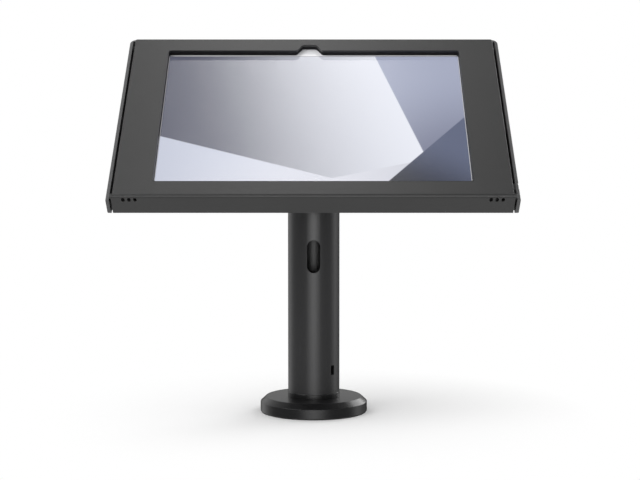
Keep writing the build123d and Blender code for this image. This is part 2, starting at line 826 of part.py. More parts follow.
export_step(tablet_shell.part, "parts/tablet_shell.step")

# Battery and main board, lying on the inside of the shell's back
with BuildPart() as tablet_battery:
    with BuildSketch(screen.offset(tablet_back_face + shell_back)):
        with Locations((battery_place, window_centre)):
            RectangleRounded(battery_width, battery_height, edge_break)
    extrude(amount=battery_thickness)
tablet_battery.part.label = "tablet_battery"
export_step(tablet_battery.part, "parts/tablet_battery.step")

with BuildPart() as tablet_board:
    with BuildSketch(screen.offset(tablet_back_face + shell_back)):
        with Locations((board_place, window_centre)):
            Rectangle(board_width, board_height)
    extrude(amount=board_thickness)
tablet_board.part.label = "tablet_board"
export_step(tablet_board.part, "parts/tablet_board.step")

# Cover glass with shallow seats behind it for the display and the camera
with BuildPart() as tablet_glass:
    with BuildSketch(screen.offset(glass_foot)):
        with Locations((0, window_centre)):
            RectangleRounded(
                tablet_width - 2 * glass_border, tablet_height - 2 * glass_border, tablet_corner - glass_border
            )
    extrude(amount=tablet_glass_thickness)
    with BuildSketch(screen.offset(glass_foot)):
        with Locations((0, window_centre)):
            Rectangle(display_width, display_height)
    extrude(amount=display_thickness, mode=Mode.SUBTRACT)
    with BuildSketch(screen.offset(glass_foot)):
        with Locations((notch_centre, camera_u)):
            Circle(camera_radius)
    extrude(amount=camera_depth, mode=Mode.SUBTRACT)
tablet_glass.part.label = "tablet_glass"
export_step(tablet_glass.part, "parts/tablet_glass.step")

with BuildPart() as tablet_display:
    with BuildSketch(screen.offset(glass_foot)):
        with Locations((0, window_centre)):
            Rectangle(display_width, display_height)
    extrude(amount=display_thickness)
tablet_display.part.label = "tablet_display"
export_step(tablet_display.part, "parts/tablet_display.step")

with BuildPart() as tablet_camera:
    with BuildSketch(screen.offset(glass_foot)):
        with Locations((notch_centre, camera_u)):
            Circle(camera_radius)
    extrude(amount=camera_depth)
tablet_camera.part.label = "tablet_camera"
export_step(tablet_camera.part, "parts/tablet_camera.step")

# Power and volume keys in the tablet's top edge, free to travel into their pockets
with BuildPart() as power_key:
    with BuildSketch(across.offset(tablet_high - key_depth)):
        with Locations((power_key_place, -key_level)):
            SlotOverall(power_key_length, key_width)
    extrude(amount=key_depth + key_stand)
power_key.part.label = "power_key"
export_step(power_key.part, "parts/power_key.step")

with BuildPart() as volume_key:
    with BuildSketch(across.offset(tablet_high - key_depth)):
        with Locations((volume_key_place, -key_level)):
            SlotOverall(volume_key_length, key_width)
    extrude(amount=key_depth + key_stand)
volume_key.part.label = "volume_key"
export_step(volume_key.part, "parts/volume_key.step")

# Outline of the window with its notch for the camera, shared by the inner frame and the cover
with BuildSketch(Plane.XY) as window_outline:
    with Locations((0, window_centre)):
        RectangleRounded(window_width, window_height, window_corner)
    with BuildLine():
        Polyline(
            (notch_centre - notch_foot / 2, window_top),
            (notch_centre - notch_top / 2, window_top + notch_height),
            (notch_centre + notch_top / 2, window_top + notch_height),
            (notch_centre + notch_foot / 2, window_top),
            close=True,
        )
    make_face()
    notch_corners = vertices().sort_by(Axis.Y)[-2:]
    fillet(notch_corners, window_corner)
    for direction in (-1, 1):
        foot_corner = (notch_centre + direction * notch_foot / 2, window_top)
        fillet(vertices().sort_by_distance(foot_corner)[0], notch_foot_round)

# Inner frame that keeps the tablet down on its strips
with BuildPart() as tablet_frame:
    with BuildSketch(screen.offset(glass_face)):
        with Locations((0, (frame_top + frame_bottom) / 2)):
            Rectangle(2 * frame_half_width, frame_top - frame_bottom)
        add(window_outline.sketch, mode=Mode.SUBTRACT)
        with GridLocations(2 * frame_screw_x, 2 * frame_screw_u, 2, 2):
            Circle(frame_screw_radius, mode=Mode.SUBTRACT)
    extrude(amount=frame_thickness)
    with BuildSketch(screen.offset(glass_face + frame_thickness)):
        with GridLocations(2 * frame_screw_x, 2 * frame_screw_u, 2, 2):
            Circle(frame_screw_head_radius)
    extrude(amount=-frame_screw_head, mode=Mode.SUBTRACT)
tablet_frame.part.label = "tablet_frame"
export_step(tablet_frame.part, "parts/tablet_frame.step")

# Four small screws, heads sunk flush in the inner frame
with BuildPart() as frame_screws:
    with BuildSketch(screen.offset(glass_face - frame_screw_depth)):
        with GridLocations(2 * frame_screw_x, 2 * frame_screw_u, 2, 2):
            Circle(frame_screw_radius)
    extrude(amount=frame_screw_depth + frame_thickness)
    with BuildSketch(screen.offset(glass_face + frame_thickness - frame_screw_head)):
        with GridLocations(2 * frame_screw_x, 2 * frame_screw_u, 2, 2):
            Circle(frame_screw_head_radius)
    extrude(amount=frame_screw_head)
frame_screws.part.label = "frame_screws"
export_step(frame_screws.part, "parts/frame_screws.step")

# Channel beside the tablet's port that keeps a charging plug straight
guide_inner = tablet_width / 2 + guide_inner_gap
with BuildPart() as plug_guide:
    with BuildSketch(side.offset(guide_inner)):
        with Locations((guide_place, tray_floor)):
            Rectangle(guide_length, guide_height, align=(Align.CENTER, Align.MIN))
    extrude(amount=tray_inner - guide_inner)
    with BuildSketch(side.offset(guide_inner)):
        with Locations((guide_place, tray_floor + guide_floor)):
            Rectangle(guide_slot, guide_height, align=(Align.CENTER, Align.MIN))
    extrude(amount=tray_inner - guide_inner - guide_end, mode=Mode.SUBTRACT)
    with BuildSketch(side.offset(tray_inner)):
        with Locations((guide_place, back + rivet_w)):
            Circle(rivet_radius)
    extrude(amount=-rivet_seat, mode=Mode.SUBTRACT)
plug_guide.part.label = "plug_guide"
export_step(plug_guide.part, "parts/plug_guide.step")

# Domed rivet that holds the channel to the right-hand wall
with BuildPart() as guide_rivet:
    with BuildSketch(side.offset(tray_inner - rivet_seat)):
        with Locations((guide_place, back + rivet_w)):
            Circle(rivet_radius)
    extrude(amount=rivet_seat + tray_sheet)
    with BuildSketch(side.offset(tray_half_width)):
        with Locations((guide_place, back + rivet_w)):
            Circle(rivet_head_radius)
    extrude(amount=rivet_head)
    rivet_rim = guide_rivet.edges().filter_by(GeomType.CIRCLE).sort_by(Axis.X)[-1]
    fillet(rivet_rim, rivet_head / 2)
guide_rivet.part.label = "guide_rivet"
export_step(guide_rivet.part, "parts/guide_rivet.step")

# Lock: a threaded barrel in the wall, its nut, the turning core, the cam and the cam's screw
barrel_face = tray_half_width - lock_dish_depth
barrel_end = barrel_face - lock_length
core_end = barrel_end - shaft_gap
core_face = barrel_face + lock_head - core_set_back
cam_back = core_end - cam_thickness
with BuildPart() as lock_barrel:
    with BuildSketch(side.offset(barrel_end)):
        with Locations((lock_u, back + lock_w)):
            Circle(lock_radius)
    extrude(amount=lock_length)
    with BuildSketch(side.offset(barrel_face)):
        with Locations((lock_u, back + lock_w)):
            Circle(lock_head_radius)
    extrude(amount=lock_head)
    with BuildSketch(side.offset(barrel_end)):
        with Locations((lock_u, back + lock_w)):
            Circle(core_radius + running_fit)
    extrude(amount=lock_length + lock_head, mode=Mode.SUBTRACT)
lock_barrel.part.label = "lock_barrel"
export_step(lock_barrel.part, "parts/lock_barrel.step")

with BuildPart() as lock_nut:
    with BuildSketch(side.offset(tray_inner)):
        with Locations((lock_u, back + lock_w)):
            RegularPolygon(lock_nut_flats / 2, 6, major_radius=False)
            Circle(lock_radius, mode=Mode.SUBTRACT)
    extrude(amount=-lock_nut_thickness)
lock_nut.part.label = "lock_nut"
export_step(lock_nut.part, "parts/lock_nut.step")

with BuildPart() as lock_core:
    with BuildSketch(side.offset(core_end)):
        with Locations((lock_u, back + lock_w)):
            Circle(core_radius)
    extrude(amount=core_face - core_end)
    with BuildSketch(side.offset(core_face)):
        with Locations((lock_u, back + lock_w)):
            SlotOverall(keyway_length, keyway_width)
    extrude(amount=-keyway_depth, mode=Mode.SUBTRACT)
    with BuildSketch(side.offset(core_end)):
        with Locations((lock_u, back + lock_w)):
            Circle(cam_screw_radius)
    extrude(amount=cam_screw_depth, mode=Mode.SUBTRACT)
lock_core.part.label = "lock_core"
export_step(lock_core.part, "parts/lock_core.step")

with BuildPart() as lock_cam:
    with BuildSketch(side.offset(cam_back)):
        with Locations((lock_u + cam_width / 2, back + lock_w)):
            SlotOverall(cam_reach + cam_width / 2, cam_width, align=(Align.MAX, Align.CENTER))
        with Locations((lock_u, back + lock_w)):
            Circle(cam_screw_radius, mode=Mode.SUBTRACT)
    extrude(amount=cam_thickness)
lock_cam.part.label = "lock_cam"
export_step(lock_cam.part, "parts/lock_cam.step")

with BuildPart() as cam_screw:
    with BuildSketch(side.offset(cam_back)):
        with Locations((lock_u, back + lock_w)):
            Circle(cam_screw_radius)
    extrude(amount=cam_thickness + cam_screw_depth)
    with BuildSketch(side.offset(cam_back)):
        with Locations((lock_u, back + lock_w)):
            Circle(cam_screw_head_radius)
    extrude(amount=-cam_screw_head)
cam_screw.part.label = "cam_screw"
export_step(cam_screw.part, "parts/cam_screw.step")

# Front cover: one folded sheet with the window, the bottom face, side flanges and hinge ears
catch_x = cam_back + cam_thickness / 2
catch_screw_u = lock_u + catch_leg_start + catch_screw_first
with BuildPart() as front_cover:
    with BuildSketch(side) as cover_section:
        with BuildLine():
            Polyline(
                (cover_top, front),
                (cover_bottom, front),
                (cover_bottom, back),
                (cover_bottom + cover_sheet, back),
                (cover_bottom + cover_sheet, cover_back),
                (cover_top, cover_back),
                close=True,
            )
        make_face()
        fillet(vertices().sort_by_distance((cover_bottom, front))[0], fold_radius)
        fillet(vertices().sort_by_distance((cover_bottom + cover_sheet, cover_back))[0], fold_inner_radius)
    extrude(amount=cover_half_width, both=True)
    top_corners = front_cover.edges().filter_by(out_axis).group_by(slope_axis)[-1]
    fillet(top_corners, cover_corner)
    face_rim = front_cover.edges().group_by(out_axis)[-1].sort_by(slope_axis)[1:]
    fillet(face_rim, cover_edge_round)
    # bottom face a little wider than the front, and the fold wider again
    with BuildSketch(side):
        with Locations((cover_bottom, back)):
            Rectangle(cover_sheet, front - fold_radius - back, align=(Align.MIN, Align.MIN))
    extrude(amount=chin_half_width, both=True)
    with BuildSketch(side):
        add(cover_section.sketch_local)
        with Locations((cover_bottom, front)):
            Rectangle(fold_radius, fold_radius, align=(Align.MIN, Align.MAX), mode=Mode.INTERSECT)
    extrude(amount=fold_half_width, both=True)
    # side flanges with the hinge ears, the right one cut short above the lock
    for direction, flange_foot in ((-1, cover_bottom + cover_sheet + flange_end_gap), (1, lock_u + lock_clear)):
        with BuildSketch(side.offset(direction * (cover_half_width - cover_sheet))):
            with BuildLine():
                Polyline(
                    (flange_foot, cover_back),
                    (flange_foot, cover_back - side_flange),
                    (hinge_u - hinge_ear_radius, cover_back - side_flange),
                    (hinge_u - hinge_ear_radius, back + hinge_w),
                    (cover_top - cover_corner, back + hinge_w),
                    (cover_top - cover_corner, cover_back),
                    close=True,
                )
            make_face()
            with Locations((hinge_u, back + hinge_w)):
                Circle(hinge_ear_radius)
                Circle(hinge_pin_radius + running_fit, mode=Mode.SUBTRACT)
        extrude(amount=direction * cover_sheet)
    with BuildSketch(screen.offset(cover_back)):
        add(window_outline.sketch)
    extrude(amount=cover_sheet, mode=Mode.SUBTRACT)
    with BuildSketch(across.offset(cover_bottom)):
        for direction in (-1, 1):
            for index in range(sound_hole_count):
                sound_hole_x = direction * (sound_hole_first + index * sound_hole_pitch)
                with Locations((sound_hole_x, sound_hole_drop - front)):
                    SlotOverall(sound_hole_length, sound_hole_width, rotation=90)
    extrude(amount=cover_sheet, mode=Mode.SUBTRACT)
    with BuildSketch(screen.offset(cover_back)):
        for index in range(catch_screw_count):
            with Locations((catch_x, catch_screw_u + index * catch_screw_pitch)):
                Circle(catch_screw_radius)
    extrude(amount=catch_screw_seat, mode=Mode.SUBTRACT)
front_cover.part.label = "front_cover"
export_step(front_cover.part, "parts/front_cover.step")

# Hook behind the cover that the lock's cam holds down
with BuildPart() as lock_catch:
    with BuildSketch(side.offset(cam_back)):
        with Locations((lock_u + catch_lip_start, back + catch_lip_w)):
            Rectangle(catch_leg_start + catch_leg - catch_lip_start, catch_lip, align=(Align.MIN, Align.MIN))
        with Locations((lock_u + catch_leg_start, back + catch_lip_w)):
            Rectangle(catch_leg, cover_back - back - catch_lip_w, align=(Align.MIN, Align.MIN))
    extrude(amount=cam_thickness)
    with BuildSketch(screen.offset(cover_back)):
        with Locations((catch_x, lock_u + catch_leg_start)):
            Rectangle(catch_foot_width, catch_foot_length, align=(Align.CENTER, Align.MIN))
        for index in range(catch_screw_count):
            with Locations((catch_x, catch_screw_u + index * catch_screw_pitch)):
                Circle(catch_screw_radius, mode=Mode.SUBTRACT)
    extrude(amount=-catch_foot_thickness)
lock_catch.part.label = "lock_catch"
export_step(lock_catch.part, "parts/lock_catch.step")

# Two screws through the hook's foot into blind holes in the cover
with BuildPart() as catch_screws:
    for index in range(catch_screw_count):
        with BuildSketch(screen.offset(cover_back - catch_foot_thickness)):
            with Locations((catch_x, catch_screw_u + index * catch_screw_pitch)):
                Circle(catch_screw_radius)
        extrude(amount=catch_foot_thickness + catch_screw_seat)
        with BuildSketch(screen.offset(cover_back - catch_foot_thickness)):
            with Locations((catch_x, catch_screw_u + index * catch_screw_pitch)):
                Circle(catch_screw_head_radius)
        extrude(amount=-catch_screw_head)
catch_screws.part.label = "catch_screws"
export_step(catch_screws.part, "parts/catch_screws.step")
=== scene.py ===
import json
import math
import bpy
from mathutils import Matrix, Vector

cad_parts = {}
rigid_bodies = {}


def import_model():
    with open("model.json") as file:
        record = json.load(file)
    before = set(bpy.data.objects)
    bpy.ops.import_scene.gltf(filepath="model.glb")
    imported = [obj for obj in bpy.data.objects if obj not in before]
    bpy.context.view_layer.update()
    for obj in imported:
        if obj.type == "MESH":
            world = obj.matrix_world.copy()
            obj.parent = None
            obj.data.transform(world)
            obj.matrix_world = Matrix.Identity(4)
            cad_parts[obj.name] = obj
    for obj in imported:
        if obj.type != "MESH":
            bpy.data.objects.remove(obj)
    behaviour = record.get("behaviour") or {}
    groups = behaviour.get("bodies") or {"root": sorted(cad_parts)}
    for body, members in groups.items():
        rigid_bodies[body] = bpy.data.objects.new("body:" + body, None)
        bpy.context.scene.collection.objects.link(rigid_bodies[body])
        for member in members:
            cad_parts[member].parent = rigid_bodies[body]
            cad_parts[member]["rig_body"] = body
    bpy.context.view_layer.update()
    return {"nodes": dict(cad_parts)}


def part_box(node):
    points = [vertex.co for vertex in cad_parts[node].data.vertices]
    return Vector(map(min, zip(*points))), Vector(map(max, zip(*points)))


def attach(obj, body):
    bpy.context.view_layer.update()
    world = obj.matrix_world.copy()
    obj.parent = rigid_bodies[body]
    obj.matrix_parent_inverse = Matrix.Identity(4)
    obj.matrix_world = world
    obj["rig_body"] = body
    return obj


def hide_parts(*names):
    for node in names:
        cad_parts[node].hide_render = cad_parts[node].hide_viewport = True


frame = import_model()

nodes = frame["nodes"]
bpy.context.scene.view_settings.view_transform = "Standard"


# Camera: stands a metre in front of the stand at the height of its head and looks slightly down,
# so that the leaning screen is seen foreshortened and the base from a little above.
frame_width_px = 640
focal_px = 1249.0
sensor_mm = 36.0
camera_place = (0.0051, -1.0178, 0.193)
camera_pitch = 0.052
camera_data = bpy.data.cameras.new("camera")
camera_data.sensor_width = sensor_mm
camera_data.lens = focal_px / frame_width_px * sensor_mm
camera = bpy.data.objects.new("camera", camera_data)
camera.location = camera_place
camera.rotation_euler = (math.pi / 2 - camera_pitch, 0, 0)
bpy.context.scene.collection.objects.link(camera)
bpy.context.scene.camera = camera


# Studio: a white floor and an even white room, with soft boxes at the left and behind on the right. What
# shines mirrors a dimmer room with bright cards instead: a wide one at eye level in front, one each overhead,
# below and behind, and one at each side. The floor away from the base glows, so no horizon shows.
floor_size = 24.0
floor_clear_radius = 0.05
floor_white_radius = 0.23
floor_paint = 0.93
room_light = 0.78
mirrored_room = 0.26
mirrored_far_room = 0.078
overhead_place = -0.03
lit_height = 0.15
# each soft box: its name, place, width, height and watts
soft_boxes = [
    ("left_box", (-1.1, -0.7, 1.4), 0.9, 1.0, 14.0),
    ("right_box", (0.9, 1.0, 0.75), 0.7, 0.9, 6.0),
]


def new_material(name):
    material = bpy.data.materials.new(name)
    material.use_nodes = True
    tree = material.node_tree
    return material, tree, tree.nodes["Principled BSDF"]


def join(tree, start, end):
    tree.links.new(start, end)


def seen_directly(tree):
    path = tree.nodes.new("ShaderNodeLightPath")
    glossy = tree.nodes.new("ShaderNodeMath")
    glossy.operation = "MAXIMUM"
    join(tree, path.outputs["Is Camera Ray"], glossy.inputs[0])
    join(tree, path.outputs["Is Glossy Ray"], glossy.inputs[1])
    through = tree.nodes.new("ShaderNodeMath")
    through.operation = "MAXIMUM"
    join(tree, glossy.outputs[0], through.inputs[0])
    join(tree, path.outputs["Is Transmission Ray"], through.inputs[1])
    return through.outputs[0]


def ranged(tree, value, low, high, from_low=0.0, from_high=1.0, kind="LINEAR"):
    span = tree.nodes.new("ShaderNodeMapRange")
    span.interpolation_type = kind
    span.inputs["From Min"].default_value = from_low
    span.inputs["From Max"].default_value = from_high
    span.inputs["To Min"].default_value = low
    span.inputs["To Max"].default_value = high
    join(tree, value, span.inputs["Value"])
    return span.outputs["Result"]


def combined(tree, operation, first, second):
    math_node = tree.nodes.new("ShaderNodeMath")
    math_node.operation = operation
    join(tree, first, math_node.inputs[0])
    join(tree, second, math_node.inputs[1])
    return math_node.outputs[0]


world = bpy.data.worlds.new("studio")
world.use_nodes = True
bpy.context.scene.world = world
tree = world.node_tree
background = tree.nodes["Background"]
background.inputs["Color"].default_value = (1.0, 1.0, 1.0, 1.0)
room_strength = ranged(tree, seen_directly(tree), room_light, 1.0)
look = tree.nodes.new("ShaderNodeTexCoord")
toward = tree.nodes.new("ShaderNodeSeparateXYZ")
join(tree, look.outputs["Generated"], toward.inputs[0])
rightward, backward, upward = toward.outputs
sideways = tree.nodes.new("ShaderNodeMath")
sideways.operation = "ABSOLUTE"
join(tree, rightward, sideways.inputs[0])
overhead = tree.nodes.new("ShaderNodeMath")
overhead.operation = "SUBTRACT"
overhead.inputs[1].default_value = overhead_place
join(tree, rightward, overhead.inputs[0])
aside = tree.nodes.new("ShaderNodeMath")
aside.operation = "ABSOLUTE"
join(tree, overhead.outputs[0], aside.inputs[0])
# each card is the product of its fades, and each fade: the share of the mirrored direction that it follows,
# its brightness at the start and the end of its range, that range, and its curve
cards = {
    # brightest at eye level, fading to its sides, its foot and its head
    "front": [
        (sideways.outputs[0], 0.0, 1.0, 0.62, 0.0, "SMOOTHSTEP"),
        (backward, 0.0, 1.0, -0.5, -0.9, "LINEAR"),
        (upward, 0.8, 4.2, -0.17, -0.04, "LINEAR"),
        (upward, 1.0, 0.0, 0.06, 0.22, "LINEAR"),
    ],
    # a narrow band from front to back, brighter towards the back
    "overhead": [
        (aside.outputs[0], 3.65, 0.0, 0.0, 0.14, "SMOOTHSTEP"),
        (upward, 0.0, 1.0, 0.85, 0.93, "LINEAR"),
        (backward, 0.55, 1.0, -0.2, 0.3, "LINEAR"),
    ],
    "behind": [(backward, 0.0, 0.36, 0.6, 0.85, "LINEAR"), (upward, 0.0, 1.0, 0.04, 0.14, "LINEAR")],
    "right": [(rightward, 0.0, 0.8, 0.75, 0.95, "LINEAR"), (backward, 0.0, 1.0, -0.1, 0.3, "LINEAR")],
    "left": [(rightward, 0.0, 0.5, -0.3, -0.6, "LINEAR"), (backward, 0.0, 1.0, 0.1, 0.6, "LINEAR")],
    "below": [(upward, 0.45, 0.0, -0.95, -0.75, "LINEAR")],
}
mirrored_light = ranged(tree, backward, mirrored_room, mirrored_far_room, 0.7, 0.9)
for fades in cards.values():
    card = ranged(tree, *fades[0])
    for fade in fades[1:]:
        card = combined(tree, "MULTIPLY", card, ranged(tree, *fade))
    mirrored_light = combined(tree, "ADD", mirrored_light, card)
mirrored = tree.nodes.new("ShaderNodeMix")
ray = tree.nodes.new("ShaderNodeLightPath")
join(tree, ray.outputs["Is Glossy Ray"], mirrored.inputs["Factor"])
join(tree, room_strength, mirrored.inputs["A"])
join(tree, mirrored_light, mirrored.inputs["B"])
join(tree, mirrored.outputs["Result"], background.inputs["Strength"])

lit_point = Vector((0.0, 0.0, lit_height))
for name, place, width, height, power in soft_boxes:
    light = bpy.data.lights.new(name, "AREA")
    light.shape = "RECTANGLE"
    light.size = width
    light.size_y = height
    light.energy = power
    lamp = bpy.data.objects.new(name, light)
    lamp.location = place
    lamp.rotation_euler = (lit_point - Vector(place)).to_track_quat("-Z", "Y").to_euler()
    bpy.context.scene.collection.objects.link(lamp)

bpy.ops.object.select_all(action="DESELECT")
bpy.ops.mesh.primitive_plane_add(size=floor_size, location=(0.0, 0.0, 0.0))
floor = bpy.context.object
floor.name = "floor"
floor_material, tree, shader = new_material("floor_white")
shader.inputs["Base Color"].default_value = (floor_paint, floor_paint, floor_paint, 1.0)
shader.inputs["Roughness"].default_value = 0.7
shader.inputs["Specular IOR Level"].default_value = 0.2
place = tree.nodes.new("ShaderNodeTexCoord")
distance = tree.nodes.new("ShaderNodeVectorMath")
distance.operation = "LENGTH"
join(tree, place.outputs["Object"], distance.inputs[0])
fade = ranged(tree, distance.outputs["Value"], 0.0, 1.0, floor_clear_radius, floor_white_radius)
glow = combined(tree, "MULTIPLY", fade, seen_directly(tree))
white = tree.nodes.new("ShaderNodeEmission")
blend = tree.nodes.new("ShaderNodeMixShader")
join(tree, glow, blend.inputs["Fac"])
join(tree, shader.outputs[0], blend.inputs[1])
join(tree, white.outputs[0], blend.inputs[2])
join(tree, blend.outputs[0], tree.nodes["Material Output"].inputs["Surface"])
floor.data.materials.append(floor_material)
floor.visible_glossy = False


# Base pad: a thin ring of black rubber that keeps the steel base off the counter. It is punched from sheet
# with holes for the cable and the fixing screws, and glued on.
def value_noise(tree, scale, detail, roughness=0.5):
    where = tree.nodes.new("ShaderNodeTexCoord")
    noise = tree.nodes.new("ShaderNodeTexNoise")
    noise.inputs["Scale"].default_value = scale
    noise.inputs["Detail"].default_value = detail
    noise.inputs["Roughness"].default_value = roughness
    join(tree, where.outputs["Object"], noise.inputs["Vector"])
    return noise.outputs["Fac"]


def blended(tree, mask, first, second):
    mix = tree.nodes.new("ShaderNodeMix")
    mix.data_type = "RGBA"
    mix.inputs["A"].default_value = (*first, 1.0)
    mix.inputs["B"].default_value = (*second, 1.0)
    join(tree, mask, mix.inputs["Factor"])
    return mix.outputs["Result"]


def bumped(tree, height, strength, distance):
    bump = tree.nodes.new("ShaderNodeBump")
    bump.inputs["Strength"].default_value = strength
    bump.inputs["Distance"].default_value = distance
    join(tree, height, bump.inputs["Height"])
    return bump.outputs["Normal"]


def rubber(name, dark, light, speckle_scale):
    material, tree, shader = new_material(name)
    speckle = value_noise(tree, speckle_scale, detail=4.0)
    join(tree, blended(tree, speckle, dark, light), shader.inputs["Base Color"])
    join(tree, ranged(tree, speckle, 0.6, 0.85), shader.inputs["Roughness"])
    join(tree, bumped(tree, speckle, strength=0.3, distance=0.0002), shader.inputs["Normal"])
    return material


def repaint(node, material):
    nodes[node].data.materials.clear()
    nodes[node].data.materials.append(material)


pad_rubber = rubber("pad_rubber", dark=(0.012, 0.012, 0.012), light=(0.03, 0.03, 0.03), speckle_scale=900.0)
repaint("base_pad", pad_rubber)


# Base: a turned steel disc with an upright rim, a sloping shoulder and a flat top, powder coated black
# with a slight gloss. The neck ring is welded on it and coated with it.
def powder_coat_group():
    group = bpy.data.node_groups.new("powder_coat", "ShaderNodeTree")
    face = group.interface
    face.new_socket("Color", in_out="INPUT", socket_type="NodeSocketColor")
    face.new_socket("Worn Color", in_out="INPUT", socket_type="NodeSocketColor")
    for label, value in (("Roughness", 0.35), ("Grain", 1.0), ("Dust", 0.1), ("Wear", 0.3)):
        face.new_socket(label, in_out="INPUT", socket_type="NodeSocketFloat").default_value = value
    face.new_socket("Color", in_out="OUTPUT", socket_type="NodeSocketColor")
    face.new_socket("Roughness", in_out="OUTPUT", socket_type="NodeSocketFloat")
    face.new_socket("Normal", in_out="OUTPUT", socket_type="NodeSocketVector")
    given = group.nodes.new("NodeGroupInput")
    made = group.nodes.new("NodeGroupOutput")
    orange_peel = value_noise(group, scale=700.0, detail=2.0)
    fine_grain = value_noise(group, scale=2600.0, detail=1.0)
    clouds = value_noise(group, scale=9.0, detail=3.0)
    flecks = value_noise(group, scale=160.0, detail=4.0)
    # bare edges: where a softened normal leaves the true one
    worn_width = 0.0007
    soft = group.nodes.new("ShaderNodeBevel")
    soft.samples = 4
    soft.inputs["Radius"].default_value = worn_width
    true = group.nodes.new("ShaderNodeNewGeometry")
    agree = group.nodes.new("ShaderNodeVectorMath")
    agree.operation = "DOT_PRODUCT"
    join(group, soft.outputs["Normal"], agree.inputs[0])
    join(group, true.outputs["Normal"], agree.inputs[1])
    edge = ranged(group, agree.outputs["Value"], 1.0, 0.0, from_low=0.82, from_high=0.985)
    chips = ranged(group, flecks, 0.0, 1.0, from_low=0.45, from_high=0.7)
    share = combined(group, "MULTIPLY", combined(group, "MULTIPLY", edge, chips), given.outputs["Wear"])
    bare = group.nodes.new("ShaderNodeMix")
    bare.data_type = "RGBA"
    join(group, share, bare.inputs["Factor"])
    join(group, given.outputs["Color"], bare.inputs["A"])
    join(group, given.outputs["Worn Color"], bare.inputs["B"])
    # thin dust that lies on what faces up
    up = group.nodes.new("ShaderNodeSeparateXYZ")
    join(group, true.outputs["Normal"], up.inputs[0])
    dust_color = (0.45, 0.44, 0.43, 1.0)
    lying = ranged(group, up.outputs["Z"], 0.0, 1.0, from_low=0.2)
    dust = combined(group, "MULTIPLY", combined(group, "MULTIPLY", lying, clouds), given.outputs["Dust"])
    dusty = group.nodes.new("ShaderNodeMix")
    dusty.data_type = "RGBA"
    dusty.inputs["B"].default_value = dust_color
    join(group, dust, dusty.inputs["Factor"])
    join(group, bare.outputs["Result"], dusty.inputs["A"])
    join(group, dusty.outputs["Result"], made.inputs["Color"])
    # roughness wanders a little with the clouds
    wander = ranged(group, clouds, -0.04, 0.04, from_low=0.3, from_high=0.7)
    rough = combined(group, "ADD", given.outputs["Roughness"], wander)
    join(group, rough, made.inputs["Roughness"])
    grain_depth = 0.00004
    bump = group.nodes.new("ShaderNodeBump")
    bump.inputs["Distance"].default_value = grain_depth
    join(group, given.outputs["Grain"], bump.inputs["Strength"])
    join(group, combined(group, "ADD", orange_peel, fine_grain), bump.inputs["Height"])
    join(group, bump.outputs["Normal"], made.inputs["Normal"])
    return group


coat_group = powder_coat_group()
bare_steel = (0.3, 0.3, 0.31)


def powder_coat(name, color, worn_color, roughness, grain, dust, wear):
    material, tree, shader = new_material(name)
    coat_node = tree.nodes.new("ShaderNodeGroup")
    coat_node.node_tree = coat_group
    coat_node.inputs["Color"].default_value = (*color, 1.0)
    coat_node.inputs["Worn Color"].default_value = (*worn_color, 1.0)
    coat_node.inputs["Roughness"].default_value = roughness
    coat_node.inputs["Grain"].default_value = grain
    coat_node.inputs["Dust"].default_value = dust
    coat_node.inputs["Wear"].default_value = wear
    join(tree, coat_node.outputs["Color"], shader.inputs["Base Color"])
    join(tree, coat_node.outputs["Roughness"], shader.inputs["Roughness"])
    join(tree, coat_node.outputs["Normal"], shader.inputs["Normal"])
    return material


def sink_sockets(piece, facing, radius, depth):
    # a hexagon socket in the middle of each flat head that faces the given way
    straight = 0.999
    same_height = 0.0001
    heads = [face for face in piece.data.polygons if face.normal.dot(facing) > straight]
    top = max(face.center.dot(facing) for face in heads)
    places = [face.center.copy() for face in heads if face.center.dot(facing) > top - same_height]
    turn = facing.to_track_quat("Z", "Y").to_euler()
    for place in places:
        bpy.ops.mesh.primitive_cylinder_add(
            vertices=6, radius=radius, depth=2 * depth, location=place, rotation=turn
        )
        cutter = bpy.context.object
        sunk = piece.modifiers.new("socket", "BOOLEAN")
        sunk.operation = "DIFFERENCE"
        sunk.solver = "EXACT"
        sunk.object = cutter
        bpy.context.view_layer.objects.active = piece
        bpy.ops.object.modifier_apply(modifier=sunk.name)
        bpy.data.objects.remove(cutter)
    bpy.ops.object.select_all(action="DESELECT")
    piece.select_set(True)


